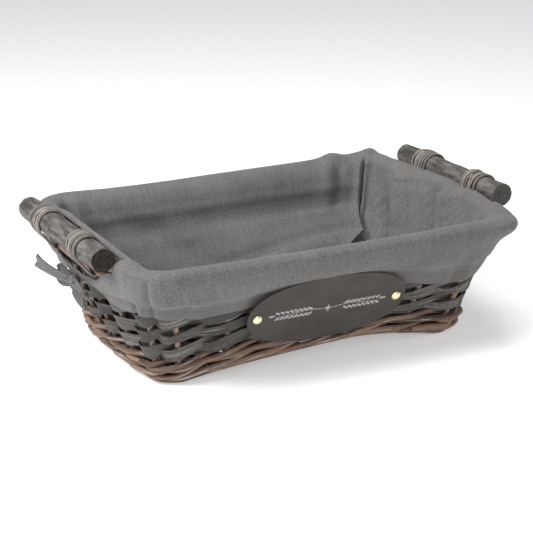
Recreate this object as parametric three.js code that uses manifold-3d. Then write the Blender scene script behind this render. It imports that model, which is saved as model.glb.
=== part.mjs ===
// Bread basket: a twined willow tray with a linen liner, two lashed log handles and a leather plaque.
// Millimetres, +Z up, +X along the basket, -Y towards the plaque.
import * as THREE from 'three';
import { mergeVertices } from 'three/addons/utils/BufferGeometryUtils.js';
import Module from 'manifold-3d';

const wasm = await Module();
wasm.setup();

// Wall: the middle surface of the weave, straight from the foot to the rim.
const rimHeight = 120;
const footHalfLength = 161;
const rimHalfLength = 192;
const footHalfDepth = 89;
const rimHalfDepth = 134;
const footCornerRadius = 24;
const rimCornerRadius = 32;
const sides = ['front', 'right', 'back', 'left'];
const rimBow = { front: 5, right: 12, back: -2, left: 12 };
const wallLean = THREE.MathUtils.degToRad(18);

// The underside arches up between the two short sides, and the lower rows follow it.
const archRise = 12;
const archHalfSpan = 150;
const archFullHeight = 22;
const archFadeHeight = 45;

// Weave
const gap = 0.3;
const hair = 0.1; // a little more than the gap, where a round face is faceted
const stakeRadius = 2.8;
const stakeBottom = 6.6;
const stakeTop = 107;
const longSideStakes = [-0.9, -0.6, -0.3, 0, 0.3, 0.6, 0.9];
const shortSideStakes = [-0.92, -0.46, 0, 0.46, 0.92];
const cornerClearance = 1.3;
const waleRadius = 2.5;
const waleRows = [11.5, 22.5];
const chipWidth = 6.2;
const chipThickness = 1;
const chipClearance = 0.9;
const chipCrossing = 0.5;
const chipRows = [38, 56, 74, 92];

// Rim: the offset is from the middle surface, outwards positive.
const rimRadius = 2.5;
const rimRods = {
  rim_rod_inner: { height: 111, offset: -5.6 },
  rim_rod_top: { height: 118.2, offset: -3.2 },
  rim_rod_crown: { height: 125.3, offset: -4.3 },
  rim_rod_outer_lower: { height: 110.6, offset: 8.5 },
  rim_rod_outer_upper: { height: 122.1, offset: 8.5 },
};

// Base
const footRadius = 2.8;
const baseStickRadius = 2.4;
const baseStickHeight = 4.4;
const baseStickSpacing = 48;
const baseWeaverWidth = 24;
const baseWeaverThickness = 0.8;
const baseWeaverPitch = 26;
const baseWeaverPasses = 11;
const baseWeaverTurnDepth = 59;

// Log handles
const logRadius = 11.3;
const logAxisX = 217;
const logAxisZ = 133;
const logs = {
  left: { sign: -1, middle: 0.5, length: 195 },
  right: { sign: 1, middle: 8, length: 188 },
};

// Lashings
const lashingSpread = 48;
const lashingWidth = 27;
const lashingThickness = 1.2;
const lashingFootRadius = 5.8;

// Liner
const clothThickness = 1.1;
const linerFloor = 35;
const ridgeHeight = 129.5;
const hemHeight = 75;
const hemOffset = 7.4;
const cuffShoulder = 104;
const cuffOffset = 12.1;
const slitInnerX = 202.2;
const slitBottom = 101;
const slitEndGap = 4;

// Ties
const tieHeight = 87;
const tieLean = THREE.MathUtils.degToRad(29);
const tieThickness = 2.4;
const knotRadius = 6.5;
const tieBandWidth = 7;
const tieLoopLength = 56;
const tieTailLength = 19;

// Plaque and studs
const plaqueLength = 168;
const plaqueWidth = 76;
const plaqueThickness = 1.6;
const plaqueFullness = 2.3; // 2 would be an ellipse, more is squarer
const plaqueOutlinePoints = 64;
const plaqueX = -6;
const plaqueZ = 65;
const plaqueOffset = 12.6;
const studSpread = 74;
const studHeadRadius = 4.8;
const studHeadRise = 2.6;
const studShankRadius = 1.1;
const studShankLength = 9;
const studHoleRadius = 1.5;

const finishes = {
  willow: { color: 0x8a6a4c, roughness: 0.75, metalness: 0 },
  bark: { color: 0x6f5138, roughness: 0.75, metalness: 0 },
  chip: { color: 0x8d8982, roughness: 0.85, metalness: 0 },
  log: { color: 0x85817c, roughness: 0.9, metalness: 0 },
  peel: { color: 0xb9a68a, roughness: 0.8, metalness: 0 },
  linen: { color: 0x8e8b85, roughness: 0.95, metalness: 0 },
  leather: { color: 0x4f4945, roughness: 0.7, metalness: 0 },
  brass: { color: 0xb08d4f, roughness: 0.35, metalness: 1 },
};

const basket = new THREE.Group();

function addPiece(name, geometry, finish) {
  const piece = new THREE.Mesh(geometry, new THREE.MeshStandardMaterial(finishes[finish]));
  piece.name = name;
  basket.add(piece);
  return piece;
}

// The wall's plan at one height, seen from one side: its straight half and its corner radius.
function planOf(side, z) {
  const rise = z / rimHeight;
  const halfLength = THREE.MathUtils.lerp(footHalfLength, rimHalfLength, rise);
  const halfDepth = THREE.MathUtils.lerp(footHalfDepth, rimHalfDepth, rise);
  const radius = THREE.MathUtils.lerp(footCornerRadius, rimCornerRadius, rise);
  const isLong = side % 2 === 0;
  return {
    radius,
    straight: (isLong ? halfLength : halfDepth) - radius,
    reach: isLong ? halfDepth : halfLength,
    bow: rimBow[sides[side]] * rise,
  };
}

// A walk goes once around the basket in four units, one for each side, starting at the front
// left corner. This is the place that it reaches on the middle surface, and the way out there.
function wallPlace(walk, z) {
  const side = Math.floor(walk) % 4;
  const { radius, straight, reach, bow } = planOf(side, z);
  const share = 2 * (walk - Math.floor(walk)) - 1;
  const travel = share * (straight + (Math.PI * radius) / 4);
  const turn = (Math.sign(travel) * Math.max(0, Math.abs(travel) - straight)) / radius;
  const level = THREE.MathUtils.clamp(travel, -straight, straight);
  const along = level + radius * Math.sin(turn);
  const bulge = bow * (1 - (level / straight) ** 2);
  const across = reach - radius + radius * Math.cos(turn) + bulge;
  const axis = new THREE.Vector3(0, 0, 1);
  const quarter = (side * Math.PI) / 2;
  const place = new THREE.Vector3(along, -across, z).applyAxisAngle(axis, quarter);
  const outward = new THREE.Vector3(Math.sin(turn), -Math.cos(turn), 0);
  return { place, outward: outward.applyAxisAngle(axis, quarter) };
}

// The same place moved square to the wall.
function wallPoint(walk, z, offset) {
  const { place, outward } = wallPlace(walk, z);
  place.addScaledVector(outward, offset * Math.cos(wallLean));
  place.z -= offset * Math.sin(wallLean);
  return place;
}

// The way up along the leaning wall.
function wallUp(walk, z) {
  const up = wallPlace(walk, z).outward.multiplyScalar(Math.sin(wallLean));
  up.z = Math.cos(wallLean);
  return up;
}

function archLift(x, z) {
  const across = Math.max(0, 1 - (x / archHalfSpan) ** 2);
  const fade = THREE.MathUtils.clamp(1 - (z - archFullHeight) / archFadeHeight, 0, 1);
  return archRise * across * fade;
}

// Square to the arch, for what lies flat on the underside.
function archUp(x) {
  const inside = Math.abs(x) < archHalfSpan ? 1 : 0;
  return new THREE.Vector3((inside * 2 * archRise * x) / archHalfSpan ** 2, 0, 1).normalize();
}

function archedHeight(walk, z) {
  return z + archLift(wallPlace(walk, z).place.x, z);
}

// A path through placed points, each with the direction that the section there calls up.
class PlacedPath extends THREE.Curve {
  constructor(points, ups) {
    super();
    this.points = points;
    this.ups = ups;
  }

  getUtoTmapping(u) {
    return u;
  }

  getPoint(t, target = new THREE.Vector3()) {
    return target.copy(this.points[Math.round(t * (this.points.length - 1))]);
  }

  computeFrenetFrames() {
    const last = this.points.length - 1;
    const tangents = this.points.map((point, i) => {
      const before = this.points[Math.max(0, i - 1)];
      const after = this.points[Math.min(last, i + 1)];
      return after.clone().sub(before).normalize();
    });
    const normals = tangents.map((tangent, i) => {
      const up = this.ups[i].clone();
      return up.addScaledVector(tangent, -up.dot(tangent)).normalize();
    });
    const binormals = tangents.map((tangent, i) => tangent.clone().cross(normals[i]));
    return { tangents, normals, binormals };
  }
}

function sweep(section, points, ups) {
  const path = new PlacedPath(points, ups);
  return new THREE.ExtrudeGeometry(section, { steps: points.length - 1, extrudePath: path });
}

// A round section whose flat sides face up and down.
function roundSection(radius, facets) {
  const corners = [];
  for (let i = 0; i < facets; i += 1) {
    const angle = ((i + 0.5) * 2 * Math.PI) / facets;
    corners.push(new THREE.Vector2(radius * Math.cos(angle), radius * Math.sin(angle)));
  }
  return new THREE.Shape(corners);
}

function flatSection(width, thickness) {
  return new THREE.Shape([
    new THREE.Vector2(-width / 2, -thickness / 2),
    new THREE.Vector2(width / 2, -thickness / 2),
    new THREE.Vector2(width / 2, thickness / 2),
    new THREE.Vector2(-width / 2, thickness / 2),
  ]);
}

// Stations for a plain ring. Its two ends meet at the middle of the back.
function ringWalks() {
  const joint = 0.003;
  const backMiddle = 2.5;
  const walks = [backMiddle + joint];
  for (let lap = 2; lap < 7; lap += 1) {
    const { radius, straight } = planOf(lap % 4, rimHeight / 2);
    const bend = (Math.PI * radius) / 4 / (straight + (Math.PI * radius) / 4);
    const shares = [-1, bend / 2 - 1, bend - 1, -0.4, 0, 0.4, 1 - bend, 1 - bend / 2];
    shares.forEach((share) => walks.push(lap + (share + 1) / 2));
  }
  walks.push(backMiddle + 4 - joint);
  return walks.filter((walk) => walk > backMiddle && walk < backMiddle + 4);
}

// The stakes' walks, one lap from the middle stake of the back side.
function stakeWalks() {
  const walks = [];
  for (let lap = 2; lap < 7; lap += 1) {
    const shares = lap % 2 === 0 ? longSideStakes : shortSideStakes;
    shares.forEach((share) => walks.push(lap + (share + 1) / 2));
  }
  return walks.filter((walk) => walk >= 2.5 && walk < 6.5);
}

const stakes = stakeWalks();

function isCornerStake(number) {
  const share = Math.abs(2 * (stakes[number % stakes.length] % 1) - 1);
  return share > 0.8;
}

function addFootRing() {
  const height = footRadius * Math.cos(Math.PI / 8);
  const walks = ringWalks();
  const points = walks.map((walk) => wallPoint(walk, archedHeight(walk, height), 0));
  const ups = walks.map(() => new THREE.Vector3(0, 0, 1));
  addPiece('foot_ring', sweep(roundSection(footRadius, 8), points, ups), 'bark');
}

function addStakes() {
  stakes.forEach((walk, number) => {
    const bottom = wallPoint(walk, archedHeight(walk, stakeBottom), 0);
    const top = wallPoint(walk, stakeTop, 0);
    const { outward } = wallPlace(walk, stakeTop);
    const shape = sweep(roundSection(stakeRadius, 6), [bottom, top], [outward, outward]);
    addPiece(`stake_${number + 1}`, shape, 'willow');
  });
}

// One strand of a twined pair. It lies outside one stake and inside the next, and passes its
// partner above or below in between.
function strandPath(row, turn, reach, climb) {
  const joint = 0.006;
  const points = [];
  const ups = [];
  const place = (walk, height, offset) => {
    points.push(wallPoint(walk, archedHeight(walk, row) + height, offset));
    ups.push(wallUp(walk, row));
  };
  for (let number = 0; number < stakes.length; number += 1) {
    const sign = number % 2 === 0 ? turn : -turn;
    const next = number + 1 < stakes.length ? stakes[number + 1] : stakes[0] + 4;
    const middle = (stakes[number] + next) / 2;
    const extra = isCornerStake(number + 1) ? cornerClearance : 0;
    place(number === 0 ? middle + joint : middle, sign * climb, 0);
    place(next, 0, -sign * (reach + extra));
  }
  const close = (stakes[0] + stakes[1]) / 2 + 4 - joint;
  place(close, turn * climb, 0);
  return { points, ups };
}

function addTwinedRows(name, rows, section, reach, climb, finish) {
  rows.forEach((row, number) => {
    ['a', 'b'].forEach((letter, strand) => {
      const { points, ups } = strandPath(row, strand === 0 ? 1 : -1, reach, climb);
      addPiece(`${name}_${number + 1}${letter}`, sweep(section, points, ups), finish);
    });
  });
}

function addWaleRods() {
  const reach = stakeRadius + gap + waleRadius;
  const climb = waleRadius + gap;
  addTwinedRows('wale_rod', waleRows, roundSection(waleRadius, 6), reach, climb, 'bark');
}

function addChipStrands() {
  const reach = stakeRadius + chipClearance + chipThickness / 2;
  const climb = chipWidth / 2 + chipCrossing;
  const section = flatSection(chipWidth, chipThickness);
  addTwinedRows('chip_strand', chipRows, section, reach, climb, 'chip');
}

function addRimRods() {
  const walks = ringWalks();
  Object.entries(rimRods).forEach(([name, { height, offset }]) => {
    const points = walks.map((walk) => wallPoint(walk, height, offset));
    const ups = walks.map((walk) => wallUp(walk, height));
    addPiece(name, sweep(roundSection(rimRadius, 6), points, ups), 'bark');
  });
}

function addBaseSticks() {
  const end = footHalfLength - footRadius - 2 * gap;
  const places = [-1, -0.75, -0.5, -0.25, 0, 0.25, 0.5, 0.75, 1].map((share) => share * end);
  [-1, 0, 1].forEach((row, number) => {
    const points = places.map((x) => {
      const z = baseStickHeight + archLift(x, baseStickHeight);
      return new THREE.Vector3(x, row * baseStickSpacing, z);
    });
    const ups = places.map(() => new THREE.Vector3(0, 0, 1));
    const shape = sweep(roundSection(baseStickRadius, 6), points, ups);
    addPiece(`base_stick_${number + 1}`, shape, 'willow');
  });
}

// One flat weaver goes to and fro over and under the base sticks.
function addBaseWeaver() {
  const wave = baseStickRadius + 2 * gap + baseWeaverThickness / 2;
  const points = [];
  const place = (x, y, height) => {
    const point = new THREE.Vector3(x, y, baseStickHeight + archLift(x, baseStickHeight));
    points.push(point.addScaledVector(archUp(x), height));
  };
  for (let pass = 0; pass < baseWeaverPasses; pass += 1) {
    const x = (pass - (baseWeaverPasses - 1) / 2) * baseWeaverPitch;
    const heading = pass % 2 === 0 ? 1 : -1;
    [-1, -0.5, 0, 0.5, 1].forEach((share) => {
      const over = share === 0 ? -heading : heading;
      const height = Math.abs(share) === 0.5 ? 0 : over * wave;
      place(x, heading * share * baseStickSpacing, height);
    });
    if (pass < baseWeaverPasses - 1) {
      const radius = baseWeaverPitch / 2;
      [0, 0.25, 0.5, 0.75, 1].forEach((share) => {
        const angle = Math.PI * share;
        const y = heading * (baseWeaverTurnDepth + radius * Math.sin(angle));
        place(x + radius - radius * Math.cos(angle), y, 0);
      });
    }
  }
  const ups = points.map((point) => archUp(point.x));
  const section = flatSection(baseWeaverThickness, baseWeaverWidth);
  addPiece('base_weaver', sweep(section, points, ups), 'chip');
}

function addLogHandle(side) {
  const { sign, middle, length } = logs[side];
  const shape = new THREE.CylinderGeometry(logRadius, logRadius, length, 20);
  const log = addPiece(`log_handle_${side}`, shape, 'log');
  log.position.set(sign * logAxisX, middle, logAxisZ);
}

// A band pulled tight around the log and the two outer rim rods below it.
function lashingLoop(sign, y) {
  const { height, offset } = rimRods.rim_rod_outer_lower;
  const { radius, straight } = planOf(1, height);
  const share = y / (straight + (Math.PI * radius) / 4);
  const foot = wallPoint(1.5 + share / 2, height, offset);
  const logReach = logRadius + 2 * gap + lashingThickness / 2 + hair;
  const run = new THREE.Vector2(logAxisX - foot.x, logAxisZ - foot.z);
  const tilt = Math.asin((logReach - lashingFootRadius) / run.length());
  const axisAngle = run.angle();
  const points = [];
  const arc = (x, z, radius, from, to, steps) => {
    for (let i = 0; i <= steps; i += 1) {
      const angle = THREE.MathUtils.lerp(from, to, i / steps);
      const across = x + radius * Math.cos(angle);
      points.push(new THREE.Vector3(sign * across, y, z + radius * Math.sin(angle)));
    }
  };
  const quarter = Math.PI / 2;
  const start = axisAngle + quarter + tilt;
  arc(foot.x, foot.z, lashingFootRadius, start, axisAngle + 3 * quarter - tilt, 5);
  arc(logAxisX, logAxisZ, logReach, axisAngle - quarter - tilt, axisAngle + quarter + tilt, 11);
  const seam = points[0].clone().sub(points[points.length - 1]).setLength(gap + hair);
  points.push(points[0].clone().sub(seam));
  return points;
}

function addLashings(side) {
  const { sign, middle } = logs[side];
  ['front', 'back'].forEach((place, number) => {
    const y = middle + (number === 0 ? -lashingSpread : lashingSpread);
    const points = lashingLoop(sign, y);
    const ups = points.map(() => new THREE.Vector3(0, 1, 0));
    const section = flatSection(lashingWidth, lashingThickness);
    addPiece(`lashing_${side}_${place}`, sweep(section, points, ups), 'peel');
  });
}

// A solid for the booleans, and the geometry that comes back from them.
function toSolid(geometry) {
  const bare = geometry.clone();
  bare.deleteAttribute('normal');
  bare.deleteAttribute('uv');
  const merged = mergeVertices(bare, 1e-4);
  return new wasm.Manifold(new wasm.Mesh({
    numProp: 3,
    vertProperties: new Float32Array(merged.attributes.position.array),
    triVerts: new Uint32Array(merged.index.array),
  }));
}

function fromSolid(solid) {
  const mesh = solid.getMesh();
  const geometry = new THREE.BufferGeometry();
  geometry.setAttribute('position', new THREE.BufferAttribute(mesh.vertProperties, 3));
  geometry.setIndex(new THREE.BufferAttribute(mesh.triVerts, 1));
  geometry.computeVertexNormals();
  return geometry;
}

// The liner's section, from the middle of the floor up over the rim to the hem and back.
// Each corner has its height and its level distance from the wall's middle surface.
function linerSection() {
  const outside = [
    [-11, linerFloor],
    [-9.3, 60],
    [-9.3, 112],
    [-8.4, 120],
    [-8.4, 128],
    [-5.4, ridgeHeight],
    [0, ridgeHeight],
    [cuffOffset, 121],
    [cuffOffset, cuffShoulder],
    [hemOffset, hemHeight],
  ];
  const inside = [
    [hemOffset + clothThickness, hemHeight],
    [cuffOffset + clothThickness, cuffShoulder],
    [cuffOffset + clothThickness, 121.6],
    [0.4, ridgeHeight + clothThickness],
    [-5.8, ridgeHeight + clothThickness],
    [-8.4 - clothThickness, 128.6],
    [-8.4 - clothThickness, 119.5],
    [-9.3 - clothThickness, 111.5],
    [-9.3 - clothThickness, 60],
    [-11 - clothThickness, linerFloor + clothThickness],
  ];
  return [...outside, ...inside];
}

// A lathe gives the liner its faces, and each of its points then moves to its place on the wall.
function linerShell() {
  const walks = [...ringWalks().slice(1, -1), 2.5].map((walk) => walk % 4).sort((a, b) => a - b);
  const section = linerSection();
  const latheReach = 100;
  const profile = section.map(([offset, height]) => new THREE.Vector2(latheReach + offset, height));
  profile.unshift(new THREE.Vector2(0, linerFloor));
  profile.push(new THREE.Vector2(0, linerFloor + clothThickness));
  const shell = new THREE.LatheGeometry(profile, walks.length);
  const position = shell.attributes.position;
  for (let ring = 0; ring <= walks.length; ring += 1) {
    for (let corner = 0; corner < profile.length; corner += 1) {
      const height = profile[corner].y;
      const { place, outward } = wallPlace(walks[ring % walks.length], height);
      const onAxis = profile[corner].x === 0;
      place.addScaledVector(outward, profile[corner].x - latheReach);
      const spot = onAxis ? new THREE.Vector3(0, 0, height) : place;
      position.setXYZ(ring * profile.length + corner, spot.x, spot.y, spot.z);
    }
  }
  return shell;
}

function slitCutter(side) {
  const { sign, middle, length } = logs[side];
  const size = new THREE.Vector3(60, length + 2 * slitEndGap, 60);
  const cutter = new THREE.BoxGeometry(size.x, size.y, size.z);
  cutter.translate(sign * (slitInnerX + size.x / 2), middle, slitBottom + size.z / 2);
  return toSolid(cutter);
}

function addLiner() {
  const shell = toSolid(linerShell());
  const slit = shell.subtract(slitCutter('left')).subtract(slitCutter('right'));
  addPiece('liner', fromSolid(slit), 'linen');
}

// Turns a piece drawn flat so that its back lies on a wall that leans out by the given angle.
function placeOnWall(piece, point, outward, lean) {
  const facing = outward.clone().multiplyScalar(Math.cos(lean));
  facing.z = -Math.sin(lean);
  const up = outward.clone().multiplyScalar(Math.sin(lean));
  up.z = Math.cos(lean);
  const level = up.clone().cross(facing);
  piece.quaternion.setFromRotationMatrix(new THREE.Matrix4().makeBasis(level, up, facing));
  piece.position.copy(point);
}

// A knot with one loop lying back along the cuff and one tail hanging down.
function tieOutline(heading) {
  const half = tieBandWidth / 2;
  const outline = new THREE.Shape();
  const at = (x, y) => [heading * x, y];
  const rise = Math.asin(half / knotRadius);
  outline.moveTo(...at(tieLoopLength, -half));
  outline.lineTo(...at(tieLoopLength + half, 0));
  outline.lineTo(...at(tieLoopLength, half));
  const corner = (angle) => at(knotRadius * Math.cos(angle), knotRadius * Math.sin(angle));
  const tailStart = 1.5 * Math.PI - rise;
  for (let i = 0; i <= 8; i += 1) {
    outline.lineTo(...corner(THREE.MathUtils.lerp(rise, tailStart, i / 8)));
  }
  outline.lineTo(...at(-half - 2, -tieTailLength));
  outline.lineTo(...at(half - 2, -tieTailLength - 2));
  outline.lineTo(...corner(1.5 * Math.PI + rise));
  outline.lineTo(...corner(2 * Math.PI - rise));
  return outline;
}

function addTie(side) {
  const { sign } = logs[side];
  const outline = tieOutline(sign);
  const shape = new THREE.ExtrudeGeometry(outline, { depth: tieThickness, bevelEnabled: false });
  const { place, outward } = wallPlace(sign > 0 ? 1.5 : 3.5, tieHeight);
  const climb = (tieHeight - hemHeight) / (cuffShoulder - hemHeight);
  const cuff = THREE.MathUtils.lerp(hemOffset, cuffOffset, climb) + clothThickness;
  place.addScaledVector(outward, cuff + 2 * gap);
  placeOnWall(addPiece(`tie_${side}`, shape, 'linen'), place, outward, tieLean);
}

const front = new THREE.Vector3(0, -1, 0);

// The middle of the plaque's back, standing off the wall.
function plaqueMiddle() {
  const { place, outward } = wallPlace(0.5, plaqueZ);
  place.addScaledVector(outward, plaqueOffset);
  place.x = plaqueX;
  return place;
}

function plaqueLean() {
  return Math.atan((rimHalfDepth + rimBow.front - footHalfDepth) / rimHeight);
}

// A full oval: an ellipse whose shoulders are filled out.
function plaqueCorner(angle) {
  const reach = (value, half) => Math.sign(value) * half * Math.abs(value) ** (2 / plaqueFullness);
  const x = reach(Math.cos(angle), plaqueLength / 2);
  const y = reach(Math.sin(angle), plaqueWidth / 2);
  return new THREE.Vector2(x, y);
}

function addPlaque() {
  const outline = new THREE.Shape();
  for (let i = 0; i < plaqueOutlinePoints; i += 1) {
    const corner = plaqueCorner((2 * Math.PI * i) / plaqueOutlinePoints);
    if (i === 0) {
      outline.moveTo(corner.x, corner.y);
    } else {
      outline.lineTo(corner.x, corner.y);
    }
  }
  outline.closePath();
  [-1, 1].forEach((sign) => {
    const hole = new THREE.Path();
    hole.absarc(sign * studSpread, 0, studHoleRadius, 0, 2 * Math.PI, true);
    outline.holes.push(hole);
  });
  const options = { depth: plaqueThickness, bevelEnabled: false, curveSegments: 14 };
  const shape = new THREE.ExtrudeGeometry(outline, options);
  placeOnWall(addPiece('plaque', shape, 'leather'), plaqueMiddle(), front, plaqueLean());
}

function addStuds() {
  const profile = [
    new THREE.Vector2(0, -studShankLength),
    new THREE.Vector2(studShankRadius, -studShankLength),
    new THREE.Vector2(studShankRadius, 0),
    new THREE.Vector2(studHeadRadius, 0),
  ];
  for (let i = 1; i < 5; i += 1) {
    const angle = (i / 5) * (Math.PI / 2);
    const radius = studHeadRadius * Math.cos(angle);
    profile.push(new THREE.Vector2(radius, studHeadRise * Math.sin(angle)));
  }
  profile.push(new THREE.Vector2(0, studHeadRise));
  Object.entries({ left: -1, right: 1 }).forEach(([side, sign]) => {
    const shape = new THREE.LatheGeometry(profile, 16);
    shape.rotateX(Math.PI / 2);
    shape.translate(sign * studSpread, 0, plaqueThickness + gap);
    placeOnWall(addPiece(`stud_${side}`, shape, 'brass'), plaqueMiddle(), front, plaqueLean());
  });
}

addFootRing();
addBaseSticks();
addBaseWeaver();
addStakes();
addWaleRods();
addChipStrands();
addRimRods();
Object.keys(logs).forEach((side) => {
  addLogHandle(side);
  addLashings(side);
  addTie(side);
});
addLiner();
addPlaque();
addStuds();

// The origin is on the floor, in the middle of the whole basket's box.
const box = new THREE.Box3().setFromObject(basket);
const middle = box.getCenter(new THREE.Vector3());
basket.position.set(-middle.x, -middle.y, -box.min.z);

export default basket;
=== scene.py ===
# Bread basket: twined willow and split-wood strips, a linen liner, log handles and an oval plaque.
import math
import random

import bpy
from mathutils import Matrix, Vector, noise


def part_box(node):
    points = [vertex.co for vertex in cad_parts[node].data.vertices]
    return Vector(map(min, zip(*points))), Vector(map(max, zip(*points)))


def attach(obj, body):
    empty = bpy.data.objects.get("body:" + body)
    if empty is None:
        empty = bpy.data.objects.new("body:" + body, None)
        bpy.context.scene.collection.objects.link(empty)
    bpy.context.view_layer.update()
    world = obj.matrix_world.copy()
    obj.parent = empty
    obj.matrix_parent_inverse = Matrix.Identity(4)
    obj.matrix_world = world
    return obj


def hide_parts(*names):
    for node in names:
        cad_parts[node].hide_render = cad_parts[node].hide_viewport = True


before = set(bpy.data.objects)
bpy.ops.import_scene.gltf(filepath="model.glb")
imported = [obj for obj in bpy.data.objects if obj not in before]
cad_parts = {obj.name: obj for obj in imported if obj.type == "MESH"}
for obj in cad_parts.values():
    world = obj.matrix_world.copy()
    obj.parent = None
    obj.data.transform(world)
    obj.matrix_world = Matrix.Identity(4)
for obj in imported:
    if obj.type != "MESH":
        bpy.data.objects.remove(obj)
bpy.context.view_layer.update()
scene = bpy.context.scene
print("frame loaded:", len(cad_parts), "nodes")

mm = 0.001


# small number helpers

def mix(a, b, share):
    return a + (b - a) * share


def clamp(x, low=0.0, high=1.0):
    return max(low, min(high, x))


def smooth(x, start, end):
    t = clamp((x - start) / (end - start))
    return t * t * (3 - 2 * t)


def bump(x, middle, width):
    return math.exp(-((x - middle) / width) ** 2)


def eased(x, keys):
    # eases between (place, value) pairs that run upwards
    if x <= keys[0][0]:
        return keys[0][1]
    for (x0, y0), (x1, y1) in zip(keys, keys[1:]):
        if x <= x1:
            return mix(y0, y1, smooth(x, x0, x1))
    return keys[-1][1]


def wander(x, y, z, size, seed=0):
    # soft noise from -1 to 1 whose bumps are about one size across
    return noise.noise(Vector((x / size + seed * 7.3, y / size - seed * 3.1, z / size + seed * 1.7)))


# the wall that everything is woven on, in metres: its sizes repeat the solids' driving dimensions

wall = {
    "rimHeight": 0.120,
    "footHalfLength": 0.161,
    "rimHalfLength": 0.192,
    "footHalfDepth": 0.089,
    "rimHalfDepth": 0.134,
    "footCorner": 0.024,
    "rimCorner": 0.032,
    "bows": (0.005, 0.012, -0.002, 0.012),  # front, right, back, left
    "lean": math.radians(18),
    "archRise": 0.012,
    "archHalfSpan": 0.150,
}
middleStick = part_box("base_stick_2")
middleY = (middleStick[0][1] + middleStick[1][1]) / 2  # the weave's own middle in the frame
stakeShares = ((-0.9, -0.6, -0.3, 0, 0.3, 0.6, 0.9), (-0.92, -0.46, 0, 0.46, 0.92))


def planOf(side, z):
    rise = z / wall["rimHeight"]
    length = mix(wall["footHalfLength"], wall["rimHalfLength"], rise)
    depth = mix(wall["footHalfDepth"], wall["rimHalfDepth"], rise)
    corner = mix(wall["footCorner"], wall["rimCorner"], rise)
    isLong = side % 2 == 0
    straight = (length if isLong else depth) - corner
    return corner, straight, depth if isLong else length, wall["bows"][side] * rise


def wallPlace(walk, z):
    # a walk of 4 goes once round: front, right, back and left side, from the front left corner
    side = math.floor(walk) % 4
    corner, straight, reach, bow = planOf(side, z)
    travel = (2 * (walk - math.floor(walk)) - 1) * (straight + math.pi * corner / 4)
    turn = math.copysign(max(0.0, abs(travel) - straight) / corner, travel)
    level = clamp(travel, -straight, straight)
    along = level + corner * math.sin(turn)
    across = reach - corner + corner * math.cos(turn) + bow * (1 - (level / straight) ** 2)
    spin = Matrix.Rotation(side * math.pi / 2, 3, "Z")
    place = spin @ Vector((along, -across, z))
    place.y += middleY
    return place, spin @ Vector((math.sin(turn), -math.cos(turn), 0))


def wallPoint(walk, z, offset):
    # moved out square to the wall
    place, out = wallPlace(walk, z)
    lean = wall["lean"]
    return place + out * (offset * math.cos(lean)) - Vector((0, 0, offset * math.sin(lean)))


def wallUp(walk, z):
    out = wallPlace(walk, z)[1]
    return out * math.sin(wall["lean"]) + Vector((0, 0, math.cos(wall["lean"])))


def archLift(x):
    # how far the foot is arched up here along a long side
    return wall["archRise"] * max(0.0, 1 - (x / wall["archHalfSpan"]) ** 2)


def stakeWalks():
    walks = [side + (share + 1) / 2 for side in range(2, 7) for share in stakeShares[side % 2]]
    return [walk for walk in walks if 2.5 <= walk < 6.5]


stakes = stakeWalks()


# shader maths

class Wire:
    # one socket in a material, with Python's own operators
    def __init__(self, shop, socket):
        self.shop = shop
        self.socket = socket

    def math(self, operation, *others):
        return self.shop.node("ShaderNodeMath", {"operation": operation}, [self, *others])

    def __add__(self, other):
        return self.math("ADD", other)

    def __mul__(self, other):
        return self.math("MULTIPLY", other)

    def __sub__(self, other):
        return self.math("SUBTRACT", other)

    def between(self, low, high):
        # 0 under low, 1 over high, soft between
        settings = {"interpolation_type": "SMOOTHSTEP"}
        values = {"Value": self, "From Min": low, "From Max": high}
        return self.shop.node("ShaderNodeMapRange", settings, values)


class Shop:
    # one material and its nodes
    def __init__(self, name):
        self.material = bpy.data.materials.new(name)
        self.material.use_nodes = True
        self.nodes = self.material.node_tree.nodes
        self.links = self.material.node_tree.links
        self.shader = self.nodes["Principled BSDF"]

    def node(self, kind, settings=None, inputs=None, output=0):
        made = self.nodes.new(kind)
        for key, value in (settings or {}).items():
            setattr(made, key, value)
        pairs = enumerate(inputs) if isinstance(inputs, list) else (inputs or {}).items()
        for key, value in pairs:
            self.feed(made.inputs[key], value)
        return Wire(self, made.outputs[output])

    def feed(self, socket, value):
        if isinstance(value, Wire):
            self.links.new(value.socket, socket)
        else:
            socket.default_value = value

    def finish(self, **sockets):
        for key, value in sockets.items():
            self.feed(self.shader.inputs[key.replace("_", " ")], value)
        return self.material

    def uv(self):
        # surface metres: along the piece and across it
        return self.node("ShaderNodeUVMap", {"uv_map": "metres"})

    def noise(self, place, scale, detail, roughness):
        values = {"Vector": place, "Scale": scale, "Detail": detail, "Roughness": roughness}
        return self.node("ShaderNodeTexNoise", None, values)

    def grain(self, u, v, detail=3.0, roughness=0.55):
        # noise stretched over the surface: u and v are its bumps in a metre
        place = self.node("ShaderNodeVectorMath", {"operation": "MULTIPLY"}, [self.uv(), (u, v, 1)])
        return self.noise(place, 1, detail, roughness)

    def speckle(self, scale, detail=3.0, roughness=0.55):
        # noise that is even in all directions
        return self.noise(self.node("ShaderNodeTexCoord", output="Object"), scale, detail, roughness)

    def blend(self, mask, first, second):
        made = self.node("ShaderNodeMix", {"data_type": "RGBA"}, None, 2)
        feeds = made.socket.node.inputs
        for socket, value in ((feeds[0], mask), (feeds[6], first), (feeds[7], second)):
            self.feed(socket, (*value, 1) if isinstance(value, tuple) else value)
        return made

    def relief(self, height, strength, distance):
        values = {"Height": height, "Strength": strength, "Distance": distance}
        return self.node("ShaderNodeBump", None, values)

    def tone(self):
        # each piece's own value, stored on its faces; on the liner it holds a painted shade over the
        # cuff's lower rows
        return self.node("ShaderNodeAttribute", {"attribute_name": "tone"}, None, 2)


linenLook = {
    "light": (0.172, 0.1685, 0.164),
    "dark": (0.080, 0.0785, 0.0765),
    # hem: a darker colour used as painted shade on the cuff below its crease
    "hem": (0.100, 0.096, 0.090),
    "thread": 1350,
}


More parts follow.
